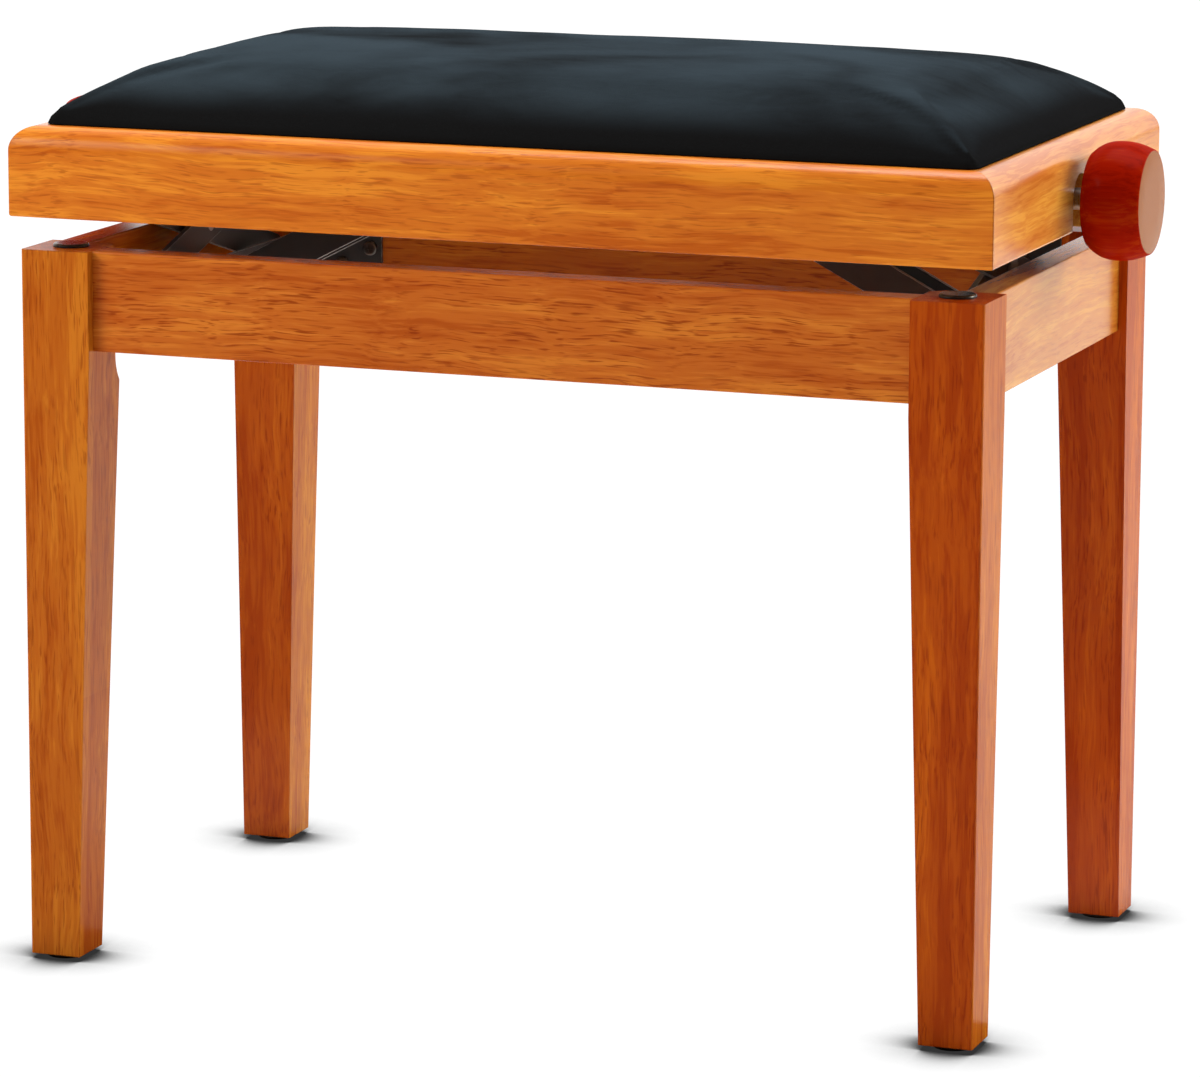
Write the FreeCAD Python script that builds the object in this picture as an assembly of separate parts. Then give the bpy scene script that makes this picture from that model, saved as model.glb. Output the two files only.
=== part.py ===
"""Piano bench: a wooden seat on four tapered legs, raised by turning either side knob."""

import FreeCAD, Part
import math
import os

os.makedirs("parts", exist_ok=True)
V = FreeCAD.Vector

# Frame: +X along the bench, +Y to the back, +Z up, origin on the floor under its middle.
# Every height is for the seat as it stands at rest, part of the way up.

GLIDE_R = 11.0
GLIDE_H = 3.0
GLIDE_EDGE_R = 1.2
NAIL_R = 1.5
NAIL_LENGTH = 15.0

BASE_LENGTH = 545.0
BASE_DEPTH = 323.0
LEG_TOP = 398.0
LEG_WIDE = 40.0
LEG_FOOT = 29.5
LEG_TAPER_START = 336.0
LEG_EDGE_R = 1.5
LEG_CHAMFER = 6.0
CHAMFER_END = 322.0
CHAMFER_RUN = 14.0
CHAMFER_REACH = 30.0

APRON_H = 55.0
APRON_THICK = 18.0
APRON_SETBACK_LONG = 6.0
APRON_SETBACK_SHORT = 5.0
APRON_EDGE_R = 1.0
PILOT_GAP = 0.02
DOWEL_R = 4.0
DOWEL_LENGTH = 30.0
DOWEL_HOLE_R = 4.1
DOWEL_HOLE_HALF = 15.5
DOWEL_INSET = 13.0

BUMPER_R = 10.0
BUMPER_H = 2.0
BUMPER_EDGE_R = 1.5
BUMPER_INSET = 20.5

SEAT_LENGTH = 555.0
SEAT_DEPTH = 330.0
SEAT_LOW = 416.0
SEAT_TOP = 465.0
BOARD_THICK = 20.0
SEAT_EDGE_R = 13.0
SEAT_LOWER_EDGE_R = 1.5
NOTCH_HALF = 14.0
GLUE_BLOCK = (10.0, 35.0, 36.0)
GLUE_BLOCK_Y = -118.0

PAD_BOARD_THICK = 8.0
PAD_BOARD_GAP = 0.5
PAD_SCREW_SEAT = 8.0
PAD_SCREW_BITE = 6.0
CUSHION_GAP = 0.3
CUSHION_SECTIONS = (
    (527.0, 300.0, 0.0),
    (527.0, 300.0, 5.0),
    (497.0, 270.0, 17.0),
    (437.0, 212.0, 28.5),
    (330.0, 110.0, 37.0),
)

SPINDLE_Z = 433.0
SPINDLE_R = 7.0
JOURNAL_R = 6.0
THREAD_FROM = 44.0
THREAD_TO = 168.0
SPINDLE_END = 309.0
RUNNING_GAP = 0.05
BUSH_R = 10.0
BUSH_FLANGE_R = 14.0
BUSH_FLANGE_THICK = 2.5
BUSH_INNER_X = 240.5
BUSH_OUTER_X = 251.0
COLLAR_R = 11.0
COLLAR_HOLE_R = 2.0
INNER_COLLAR_X = (233.0, 240.0)
OUTER_COLLAR_X = (251.5, 258.0)

KNOB_BACK = 284.0
KNOB_PROFILE = (
    (284.0, 24.5),
    (285.5, 26.4),
    (289.0, 29.2),
    (294.0, 31.4),
    (300.0, 32.0),
    (306.0, 31.6),
    (312.0, 30.2),
    (315.5, 29.2),
    (317.0, 27.4),
)

GRUB_X = 291.0
GRUB_R = 2.5
GRUB_LENGTH = 12.0

NUT_X = 78.1
NUT_SIZE = (26.0, 20.0, 24.0)
NUT_EDGE_R = 1.5
TRUNNION_R = 4.0
TRUNNION_END = 16.5

LIFT_PIVOT_X = 217.0
LIFT_PIVOT_Z = 360.7
LIFT_ANGLE = 27.5
LIFT_SLOT_AT = 157.3
LIFT_SLOT_TRAVEL = 8.2
LIFT_SLOT_R = 6.5
LIFT_PLATE_THICK = 3.0
LIFT_PLATE_Y = 11.0
LIFT_PLATE_HALF = 10.0
LIFT_HEAD_HALF = 11.0
LIFT_NECK = 16.0
LIFT_TUBE_R = 8.0
LIFT_BAR_R = 4.0
LIFT_BAR_AT = 70.0
LIFT_PIN_HALF = 19.5
LIFT_PIN_HEAD_R = 6.5
LIFT_PIN_HEAD_FROM = 17.05

STEEL = 2.0
BASE_WEB_X = 228.0
BASE_WEB_LOW = 348.0
BASE_WEB_HIGH = 374.0
BASE_EAR_INNER = 183.0
BASE_EAR_HIGH = 394.0
BASE_WING_Y = 15.0
BASE_WING_X = 208.0
EAR_CORNER_R = 6.0
SEAT_WEB_X = 242.0
SEAT_WEB_LOW = 408.0
SEAT_WEB_STEP = 417.0
SEAT_WEB_HIGH = 448.0
SEAT_WEB_FLAP = 118.0
SEAT_EAR_INNER = 198.0
FLAP_CORNER_R = 8.0

PIVOT_Y = 105.0
SCISSOR_LOW_Z = 365.0
SCISSOR_HIGH_Z = 422.0
SLOT_FROM = 70.0
SLOT_TO = 115.0
SLOT_HALF = 6.5
ROLLER_R = 5.0
ARM_THICK = 3.0
ARM_HALF = 9.0
ARM_A_X = 231.5
ARM_B_X = 237.0
CROSS_PIN_R = 4.0
CROSS_HOLE_R = 5.5
CROSS_HEAD_R = 7.5
CROSS_HEAD_H = 1.3
RIVET_R = 4.0
RIVET_HEAD_R = 7.0
RIVET_SHOULDER_R = 6.0
RIVET_HEAD_H = 2.2
RIVET_TAIL_H = 2.0
SHOULDER_GAP = 0.1
TAIL_GAP = 0.2
STUD_R = 3.0
STUD_HEAD_R = 6.0
STUD_HEAD_H = 1.5
WASHER_R = 7.6
STUD_A_END = 246.0
ROLLER_A_X = (241.5, 245.8)
WASHER_A_FROM = 244.4
STUD_B_END = 226.0
ROLLER_B_X = (231.2, 226.2)
WASHER_B_FROM = 227.6

SCREW_R = 2.0
SCREW_HEAD_R = 4.2
SCREW_HEAD_H = 2.2
SCREW_LENGTH = 14.0
SCREW_EDGE_R = 1.3
SCREW_HOLE_GAP = 0.3
RECESS_HALF = 2.2
RECESS_WIDE = 0.45
RECESS_DEEP = 1.0
BASE_SCREWS = [(190.0, 364.0), (190.0, 385.0), (208.0, 354.0), (208.0, 377.0)]
SEAT_SCREWS = [(x, SPINDLE_Z) for x in (207.0, 229.0)]

HALF_L = BASE_LENGTH / 2
HALF_D = BASE_DEPTH / 2
APRON_LOW = LEG_TOP - APRON_H
LONG_APRON_Y = HALF_D - APRON_SETBACK_LONG
SHORT_APRON_X = HALF_L - APRON_SETBACK_SHORT
LONG_APRON_INNER = LONG_APRON_Y - APRON_THICK
SHORT_APRON_INNER = SHORT_APRON_X - APRON_THICK
SEAT_INNER_X = SEAT_LENGTH / 2 - BOARD_THICK
SEAT_INNER_Y = SEAT_DEPTH / 2 - BOARD_THICK
LONG_APRON_MIDDLE = (LONG_APRON_Y + LONG_APRON_INNER) / 2
SHORT_APRON_MIDDLE = (SHORT_APRON_X + SHORT_APRON_INNER) / 2
DOWEL_ROWS = (APRON_LOW + DOWEL_INSET, LEG_TOP - DOWEL_INSET)


def box(x0, x1, y0, y1, z0, z1):
    low = V(min(x0, x1), min(y0, y1), min(z0, z1))
    return Part.makeBox(abs(x1 - x0), abs(y1 - y0), abs(z1 - z0), low)


def rod(radius, start, end):
    """A round bar between two points."""
    along = V(*end) - V(*start)
    return Part.makeCylinder(radius, along.Length, V(*start), along)


def prism(points, along):
    """A solid with a flat outline through these points, pushed out along a vector."""
    outline = Part.makePolygon([V(*p) for p in points] + [V(*points[0])])
    return Part.Face(outline).extrude(V(*along))


def joined(pieces):
    solid = pieces[0]
    if len(pieces) > 1:
        solid = solid.fuse(pieces[1:])
    return solid.removeSplitter()


def rounded(solid, radius, wanted):
    """The solid with a fillet on every edge that the test picks out."""
    return solid.makeFillet(radius, [e for e in solid.Edges if wanted(e)])


def to_right(solid):
    """The same piece on the bench's other end, as its mirror image."""
    return solid.mirror(V(0, 0, 0), V(1, 0, 0))


def to_back(solid):
    return solid.mirror(V(0, 0, 0), V(0, 1, 0))


def four_corners(solid):
    left = [solid, to_back(solid)]
    return left + [to_right(s) for s in left]


def save(name, pieces):
    shape = pieces[0] if len(pieces) == 1 else Part.makeCompound(pieces)
    shape.exportStep("parts/" + name + ".step")


def edge_runs_up(edge):
    ends = edge.BoundBox
    return ends.XLength < 0.01 and ends.YLength < 0.01 and ends.ZLength > 20


# Legs: the two outer faces are plumb, the two inner faces taper below the aprons.

def leg_section(z, wide):
    corner = V(-HALF_L, -HALF_D, z)
    steps = ((0, 0), (wide, 0), (wide, wide), (0, wide), (0, 0))
    return Part.makePolygon([corner + V(a, b, 0) for a, b in steps])


def front_left_leg():
    upper = box(-HALF_L, -HALF_L + LEG_WIDE, -HALF_D, -HALF_D + LEG_WIDE, LEG_TAPER_START, LEG_TOP)
    sections = [leg_section(GLIDE_H, LEG_FOOT), leg_section(LEG_TAPER_START, LEG_WIDE)]
    lower = Part.makeLoft(sections, True, True)
    leg = joined([upper, lower])
    outer = V(-HALF_L, -HALF_D, 0)

    def is_outer_corner(edge):
        middle = edge.CenterOfMass
        return edge_runs_up(edge) and math.hypot(middle.x - outer.x, middle.y - outer.y) < 0.1

    leg = rounded(leg, LEG_EDGE_R, is_outer_corner)
    leg = leg.cut(inner_chamfer())
    inner_x = -HALF_L + LEG_WIDE
    inner_y = -HALF_D + LEG_WIDE
    for z in DOWEL_ROWS:
        front_end = (inner_x - DOWEL_HOLE_HALF, -LONG_APRON_MIDDLE, z)
        side_end = (-SHORT_APRON_MIDDLE, inner_y - DOWEL_HOLE_HALF, z)
        leg = leg.cut(rod(DOWEL_HOLE_R, front_end, (inner_x + 1, -LONG_APRON_MIDDLE, z)))
        leg = leg.cut(rod(DOWEL_HOLE_R, side_end, (-SHORT_APRON_MIDDLE, inner_y + 1, z)))
    foot_x = -HALF_L + LEG_FOOT / 2
    foot_y = -HALF_D + LEG_FOOT / 2
    return leg.cut(rod(NAIL_R, (foot_x, foot_y, 0), (foot_x, foot_y, GLIDE_H + NAIL_LENGTH)))


def inner_chamfer():
    """The wedge taken off the leg's inner corner, running out in a curve below the aprons."""
    depth = LEG_CHAMFER / math.sqrt(2)
    reach = CHAMFER_REACH
    high = V(0, 0, LEG_TOP + 1)
    start = V(depth, 0, CHAMFER_END + CHAMFER_RUN)
    middle = V(depth * 0.7, 0, CHAMFER_END + CHAMFER_RUN * 0.45)
    foot = V(-1.0, 0, CHAMFER_END - 2)
    edges = [
        Part.LineSegment(V(depth, 0, high.z), start).toShape(),
        Part.Arc(start, middle, foot).toShape(),
        Part.LineSegment(foot, V(-reach, 0, foot.z)).toShape(),
        Part.LineSegment(V(-reach, 0, foot.z), V(-reach, 0, high.z)).toShape(),
        Part.LineSegment(V(-reach, 0, high.z), V(depth, 0, high.z)).toShape(),
    ]
    wedge = Part.Face(Part.Wire(edges)).extrude(V(0, 2 * reach, 0))
    wedge.translate(V(0, -reach, 0))
    wedge.rotate(V(0, 0, 0), V(0, 0, 1), 225)
    wedge.translate(V(-HALF_L + LEG_WIDE, -HALF_D + LEG_WIDE, 0))
    return wedge


leg_pieces = four_corners(front_left_leg())
save("leg_front_left", [leg_pieces[0]])
save("leg_back_left", [leg_pieces[1]])
save("leg_front_right", [leg_pieces[2]])
save("leg_back_right", [leg_pieces[3]])

# Glides: nailed feet, one under each leg.

glide_x = -HALF_L + LEG_FOOT / 2
glide_y = -HALF_D + LEG_FOOT / 2
glide = rod(GLIDE_R, (glide_x, glide_y, 0), (glide_x, glide_y, GLIDE_H))
glide = rounded(glide, GLIDE_EDGE_R, lambda e: e.CenterOfMass.z < 0.1 and len(e.Vertexes) == 1)
nail = rod(NAIL_R, (glide_x, glide_y, GLIDE_H - 1), (glide_x, glide_y, GLIDE_H + NAIL_LENGTH))
save("floor_glides", four_corners(joined([glide, nail])))

# Bumpers: low domes on the leg tops that the seat comes down on.

bumper_x = -HALF_L + BUMPER_INSET
bumper_y = -HALF_D + BUMPER_INSET
bumper = rod(BUMPER_R, (bumper_x, bumper_y, LEG_TOP), (bumper_x, bumper_y, LEG_TOP + BUMPER_H))
bumper = rounded(bumper, BUMPER_EDGE_R, lambda e: e.CenterOfMass.z > LEG_TOP + 1 and len(e.Vertexes) == 1)
save("stop_bumpers", four_corners(bumper))

# Aprons: four rails between the legs, each end on two dowels.

def with_pilot_holes(board, inner_y, places):
    """The board with a hole from its inner face for each bracket screw, at both ends."""
    for x, z in places:
        for way in (-1, 1):
            deep = (way * x, -inner_y - SCREW_LENGTH, z)
            board = board.cut(rod(SCREW_R + PILOT_GAP, deep, (way * x, -inner_y + 1, z)))
    return board


def apron_front():
    inner_x = HALF_L - LEG_WIDE
    rail = box(-inner_x, inner_x, -LONG_APRON_Y, -LONG_APRON_INNER, APRON_LOW, LEG_TOP)
    rail = rounded(rail, APRON_EDGE_R, lambda e: e.BoundBox.XLength > 100)
    for z in DOWEL_ROWS:
        for way in (-1, 1):
            start = (way * (inner_x + 1), -LONG_APRON_MIDDLE, z)
            end = (way * (inner_x - DOWEL_HOLE_HALF), -LONG_APRON_MIDDLE, z)
            rail = rail.cut(rod(DOWEL_HOLE_R, start, end))
    return with_pilot_holes(rail, LONG_APRON_INNER, BASE_SCREWS)


def apron_left():
    inner_y = HALF_D - LEG_WIDE
    rail = box(-SHORT_APRON_X, -SHORT_APRON_INNER, -inner_y, inner_y, APRON_LOW, LEG_TOP)
    rail = rounded(rail, APRON_EDGE_R, lambda e: e.BoundBox.YLength > 100)
    for z in DOWEL_ROWS:
        for way in (-1, 1):
            start = (-SHORT_APRON_MIDDLE, way * (inner_y + 1), z)
            end = (-SHORT_APRON_MIDDLE, way * (inner_y - DOWEL_HOLE_HALF), z)
            rail = rail.cut(rod(DOWEL_HOLE_R, start, end))
    return rail


save("apron_front", [apron_front()])
save("apron_back", [to_back(apron_front())])
save("apron_left", [apron_left()])
save("apron_right", [to_right(apron_left())])

dowels = []
joint_x = -HALF_L + LEG_WIDE
joint_y = -HALF_D + LEG_WIDE
half = DOWEL_LENGTH / 2
long_y = -LONG_APRON_MIDDLE
short_x = -SHORT_APRON_MIDDLE
for z in DOWEL_ROWS:
    dowels += four_corners(rod(DOWEL_R, (joint_x - half, long_y, z), (joint_x + half, long_y, z)))
    dowels += four_corners(rod(DOWEL_R, (short_x, joint_y - half, z), (short_x, joint_y + half, z)))
save("apron_dowels", dowels)

# Base cross-members: bent steel at each end, screwed to the long aprons.

def slot_cut(x0, x1, z):
    near = SLOT_FROM + SLOT_HALF
    far = SLOT_TO - SLOT_HALF
    ends = [rod(SLOT_HALF, (x0, y, z), (x1, y, z)) for y in (near, far)]
    return joined(ends + [box(x0, x1, near, far, z - SLOT_HALF, z + SLOT_HALF)])


def lift_axis_rod(radius, y0, y1):
    return rod(radius, (-LIFT_PIVOT_X, y0, LIFT_PIVOT_Z), (-LIFT_PIVOT_X, y1, LIFT_PIVOT_Z))


def base_cross_member():
    web_out = -(BASE_WEB_X + STEEL)
    reach = LONG_APRON_INNER
    web = box(web_out, -BASE_WEB_X, -reach, reach, BASE_WEB_LOW, BASE_WEB_HIGH)
    pieces = [web]
    for side in (-1, 1):
        inner = side * (reach - STEEL)
        ear = box(web_out, -BASE_EAR_INNER, inner, side * reach, BASE_WEB_LOW, BASE_EAR_HIGH)

        def is_ear_corner(edge):
            middle = edge.CenterOfMass
            spans = edge.BoundBox
            free_end = middle.x > -BASE_EAR_INNER - 0.1
            return spans.YLength > 1.5 and spans.XLength < 0.1 and spans.ZLength < 0.1 and free_end

        pieces.append(rounded(ear, EAR_CORNER_R, is_ear_corner))
    for side in (-1, 1):
        near = side * BASE_WING_Y
        far = side * (BASE_WING_Y + STEEL)
        pieces.append(box(web_out, -BASE_WING_X, near, far, BASE_WEB_LOW, BASE_WEB_HIGH))
    member = joined(pieces)
    start = web_out - 1
    end = -BASE_WEB_X + 1
    member = member.cut(rod(RIVET_R, (start, -PIVOT_Y, SCISSOR_LOW_Z), (end, -PIVOT_Y, SCISSOR_LOW_Z)))
    member = member.cut(slot_cut(start, end, SCISSOR_LOW_Z))
    member = member.cut(lift_axis_rod(RIVET_R, -LIFT_PIN_HALF, LIFT_PIN_HALF))
    for x, z in BASE_SCREWS:
        member = member.cut(rod(SCREW_R + SCREW_HOLE_GAP, (-x, -reach - 1, z), (-x, reach + 1, z)))
    return member


save("base_bracket_left", [base_cross_member()])
save("base_bracket_right", [to_right(base_cross_member())])

# Screws: pan-head wood screws with a cross recess, all the same length.

def screw(x, seat_y, z):
    """A screw whose head rests at seat_y and whose shank runs to the front."""
    head = rod(SCREW_HEAD_R, (x, seat_y, z), (x, seat_y + SCREW_HEAD_H, z))
    head = rounded(head, SCREW_EDGE_R, lambda e: e.CenterOfMass.y > seat_y + 2 and len(e.Vertexes) == 1)
    shank = rod(SCREW_R, (x, seat_y - SCREW_LENGTH + 1, z), (x, seat_y + 0.5, z))
    bottom = seat_y + SCREW_HEAD_H - RECESS_DEEP
    above = seat_y + SCREW_HEAD_H + 1
    bars = []
    for wide, high in ((RECESS_HALF, RECESS_WIDE), (RECESS_WIDE, RECESS_HALF)):
        bars.append(box(x - wide, x + wide, bottom, above, z - high, z + high))
    return joined([head, shank]).cut(joined(bars))


base_screws = []
for x, z in BASE_SCREWS:
    base_screws += four_corners(screw(-x, -LONG_APRON_INNER + STEEL, z))
save("base_bracket_screws", base_screws)

# Scissor pivots fixed to the base cross-members, each a shouldered rivet.

def rivet(x_head, x_web, shoulder, x_arm, x_end, z):
    """Heads outside both plates, a shoulder between them and a plain shank through the arm."""
    steps = (
        (RIVET_HEAD_R, x_head, x_web),
        (RIVET_R, x_web, x_arm),
        (RIVET_SHOULDER_R, shoulder[0], shoulder[1]),
        (RIVET_HEAD_R, x_arm, x_end),
    )
    return joined([rod(radius, (x0, -PIVOT_Y, z), (x1, -PIVOT_Y, z)) for radius, x0, x1 in steps])


base_face = -(BASE_WEB_X + STEEL)
arm_a_out = -(ARM_A_X + ARM_THICK)
low_rivet = rivet(
    -BASE_WEB_X + RIVET_HEAD_H,
    -BASE_WEB_X,
    (base_face, -ARM_A_X + SHOULDER_GAP),
    arm_a_out - TAIL_GAP,
    arm_a_out - RIVET_TAIL_H,
    SCISSOR_LOW_Z,
)
save("base_scissor_rivets", [low_rivet, to_right(low_rivet)])

lift_heads = [lift_axis_rod(LIFT_PIN_HEAD_R, s * LIFT_PIN_HEAD_FROM, s * LIFT_PIN_HALF) for s in (-1, 1)]
lift_pin = joined([lift_axis_rod(RIVET_R, -LIFT_PIN_HALF, LIFT_PIN_HALF)] + lift_heads)
save("lift_arm_pins", [lift_pin, to_right(lift_pin)])

# Seat frame: four boards mitred at the corners, the top outer edge well rounded.

def seat_ring():
    half_x = SEAT_LENGTH / 2
    half_y = SEAT_DEPTH / 2
    block = box(-half_x, half_x, -half_y, half_y, SEAT_LOW, SEAT_TOP)
    block = rounded(block, SEAT_LOWER_EDGE_R, lambda e: e.BoundBox.ZMax < SEAT_LOW + 0.1)
    block = rounded(block, SEAT_EDGE_R, lambda e: e.BoundBox.ZMin > SEAT_TOP - 0.1)
    hollow = box(-SEAT_INNER_X, SEAT_INNER_X, -SEAT_INNER_Y, SEAT_INNER_Y, SEAT_LOW - 1, SEAT_TOP + 1)
    return block.cut(hollow)


def mitred(ring, end):
    """The board at one side of the ring, cut at 45 degrees through its corners."""
    half_x = SEAT_LENGTH / 2 + 1
    half_y = SEAT_DEPTH / 2 + 1
    ridge = half_x - half_y
    shapes = {
        "front": ((-half_x, -half_y), (half_x, -half_y), (ridge, 0), (-ridge, 0)),
        "left": ((-half_x, -half_y), (-ridge, 0), (-half_x, half_y)),
    }
    points = [(x, y, SEAT_LOW - 5) for x, y in shapes[end]]
    return ring.common(prism(points, (0, 0, SEAT_TOP - SEAT_LOW + 10)))


ring = seat_ring()
front_board = with_pilot_holes(mitred(ring, "front"), SEAT_INNER_Y, SEAT_SCREWS)
side_board = mitred(ring, "left")
notch = joined([
    rod(NOTCH_HALF, (-SEAT_LENGTH / 2 - 1, 0, SPINDLE_Z), (-SEAT_INNER_X + 1, 0, SPINDLE_Z)),
    box(-SEAT_LENGTH / 2 - 1, -SEAT_INNER_X + 1, -NOTCH_HALF, NOTCH_HALF, SEAT_LOW - 1, SPINDLE_Z),
])
side_board = side_board.cut(notch)
save("seat_board_front", [front_board])
save("seat_board_back", [to_back(front_board)])
save("seat_board_left", [side_board])
save("seat_board_right", [to_right(side_board)])

# Glue blocks and their screws hold the cushion's board level with the frame's top.

block_long, block_deep, block_high = GLUE_BLOCK
block_x = -SEAT_INNER_X
pad_low = SEAT_TOP - PAD_BOARD_THICK
screw_x = block_x + block_long / 2
screw_y = GLUE_BLOCK_Y + block_deep / 2
screw_seat = pad_low - PAD_SCREW_SEAT
block_low = pad_low - block_high


def upright_rod(radius, z0, z1):
    return rod(radius, (screw_x, screw_y, z0), (screw_x, screw_y, z1))


glue_block = box(block_x, block_x + block_long, GLUE_BLOCK_Y, GLUE_BLOCK_Y + block_deep, block_low, pad_low)
bore = upright_rod(SCREW_R, screw_seat - 1, pad_low + 1)
well = upright_rod(SCREW_HEAD_R + SCREW_HOLE_GAP, block_low - 1, screw_seat)
save("seat_glue_blocks", four_corners(glue_block.cut(joined([bore, well]))))

pad_screw = joined([
    upright_rod(SCREW_HEAD_R, screw_seat - SCREW_HEAD_H, screw_seat),
    upright_rod(SCREW_R, screw_seat, pad_low + PAD_SCREW_BITE),
])
pad_screws = four_corners(pad_screw)
save("cushion_board_screws", pad_screws)

pad_x = SEAT_INNER_X - PAD_BOARD_GAP
pad_y = SEAT_INNER_Y - PAD_BOARD_GAP
pad_board = box(-pad_x, pad_x, -pad_y, pad_y, pad_low, SEAT_TOP)
for driven in pad_screws:
    pad_board = pad_board.cut(driven)
save("cushion_board", [pad_board])

# Cushion: a crowned pad that spreads a little over the frame.

def cushion_section(length, depth, rise):
    corner = 4.0 + rise * 0.6
    height = SEAT_TOP + CUSHION_GAP + rise
    block = box(-length / 2, length / 2, -depth / 2, depth / 2, height, height + 60)
    block = rounded(block, corner, edge_runs_up)
    outline = min(block.Faces, key=lambda face: face.CenterOfMass.z)
    return outline.OuterWire


cushion = Part.makeLoft([cushion_section(*row) for row in CUSHION_SECTIONS], True, True)
save("seat_cushion", [cushion])

# Seat cross-members: bent steel at each end, screwed to the long seat boards.

def spindle_axis_rod(radius, x0, x1):
    return rod(radius, (x0, 0, SPINDLE_Z), (x1, 0, SPINDLE_Z))


def seat_cross_member():
    web_out = -(SEAT_WEB_X + STEEL)
    reach = SEAT_INNER_Y
    flap = box(web_out, -SEAT_WEB_X, -SEAT_WEB_FLAP, SEAT_WEB_FLAP, SEAT_WEB_LOW, SEAT_WEB_HIGH)

    def is_flap_corner(edge):
        spans = edge.BoundBox
        low = edge.CenterOfMass.z < SEAT_WEB_LOW + 0.1
        return spans.XLength > 1.5 and spans.YLength < 0.1 and spans.ZLength < 0.1 and low

    pieces = [rounded(flap, FLAP_CORNER_R, is_flap_corner)]
    pieces.append(box(web_out, -SEAT_WEB_X, -reach, reach, SEAT_WEB_STEP, SEAT_WEB_HIGH))
    for side in (-1, 1):
        inner = side * (reach - STEEL)
        pieces.append(box(web_out, -SEAT_EAR_INNER, inner, side * reach, SEAT_WEB_STEP, SEAT_WEB_HIGH))
    member = joined(pieces)
    start = web_out - 1
    end = -SEAT_WEB_X + 1
    member = member.cut(rod(RIVET_R, (start, -PIVOT_Y, SCISSOR_HIGH_Z), (end, -PIVOT_Y, SCISSOR_HIGH_Z)))
    member = member.cut(slot_cut(start, end, SCISSOR_HIGH_Z))
    member = member.cut(spindle_axis_rod(BUSH_R, start, end))
    for x, z in SEAT_SCREWS:
        member = member.cut(rod(SCREW_R + SCREW_HOLE_GAP, (-x, -reach - 1, z), (-x, reach + 1, z)))
    return member


save("seat_bracket_left", [seat_cross_member()])
save("seat_bracket_right", [to_right(seat_cross_member())])

seat_screws = []
for x, z in SEAT_SCREWS:
    seat_screws += four_corners(screw(-x, -SEAT_INNER_Y + STEEL, z))
save("seat_bracket_screws", seat_screws)

seat_face = -(SEAT_WEB_X + STEEL)
arm_b_out = -(ARM_B_X + ARM_THICK)
high_rivet = rivet(
    seat_face - RIVET_HEAD_H,
    seat_face,
    (-SEAT_WEB_X, arm_b_out - SHOULDER_GAP),
    -ARM_B_X + TAIL_GAP,
    -ARM_B_X + RIVET_TAIL_H,
    SCISSOR_HIGH_Z,
)
save("seat_scissor_rivets", [high_rivet, to_right(high_rivet)])

# Spindle bushes: flanged sleeves in the seat cross-members.

def spindle_bush():
    sleeve = spindle_axis_rod(BUSH_R, -BUSH_INNER_X, -BUSH_OUTER_X)
    flange = spindle_axis_rod(BUSH_FLANGE_R, seat_face, seat_face - BUSH_FLANGE_THICK)
    hole = spindle_axis_rod(JOURNAL_R + RUNNING_GAP, -BUSH_INNER_X + 1, -BUSH_OUTER_X - 1)
    return joined([sleeve, flange]).cut(hole)


save("spindle_bushes", [spindle_bush(), to_right(spindle_bush())])

# Spindle: one shaft right through, with opposite threads on its two halves.

shaft = [spindle_axis_rod(JOURNAL_R, -SPINDLE_END, SPINDLE_END)]
shaft += [spindle_axis_rod(SPINDLE_R, way * THREAD_FROM, way * THREAD_TO) for way in (-1, 1)]
save("spindle", [joined(shaft)])


def collar(x0, x1):
    hole = spindle_axis_rod(JOURNAL_R + PILOT_GAP, -x0 + 1, -x1 - 1)
    bored = spindle_axis_rod(COLLAR_R, -x0, -x1).cut(hole)
    middle = -(x0 + x1) / 2
    return bored.cut(rod(COLLAR_HOLE_R, (middle, 0, SPINDLE_Z), (middle, 0, SPINDLE_Z + COLLAR_R + 1)))


collars = [collar(*INNER_COLLAR_X), collar(*OUTER_COLLAR_X)]
save("spindle_collars", collars + [to_right(c) for c in collars])

# Knobs: turned wooden barrels, each bored for the spindle's end and held by a grub screw.

def knob():
    outline = [V(-x, 0, SPINDLE_Z + r) for x, r in KNOB_PROFILE]
    curve = Part.BSplineCurve()
    curve.interpolate(outline)
    start = V(-KNOB_BACK, 0, SPINDLE_Z)
    end = V(-KNOB_PROFILE[-1][0], 0, SPINDLE_Z)
    edges = [
        Part.LineSegment(start, outline[0]).toShape(),
        curve.toShape(),
        Part.LineSegment(outline[-1], end).toShape(),
        Part.LineSegment(end, start).toShape(),
    ]
    barrel = Part.Face(Part.Wire(edges)).revolve(start, V(1, 0, 0), 360)
    barrel = Part.Solid(Part.Shell(barrel.Faces))
    bore = spindle_axis_rod(JOURNAL_R + PILOT_GAP, -KNOB_BACK + 1, -SPINDLE_END - 0.1)
    grub_hole = rod(GRUB_R + 0.1, (-GRUB_X, 0, SPINDLE_Z), (-GRUB_X, 0, SPINDLE_Z - 40))
    return barrel.cut(bore).cut(grub_hole)


save("knob_left", [knob()])
save("knob_right", [to_right(knob())])
grub_start = SPINDLE_Z - JOURNAL_R - 0.1
grub = rod(GRUB_R, (-GRUB_X, 0, grub_start), (-GRUB_X, 0, grub_start - GRUB_LENGTH))
save("knob_grub_screws", [grub, to_right(grub)])

# Nuts: blocks that run along the threads, with a trunnion on each side.

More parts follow.
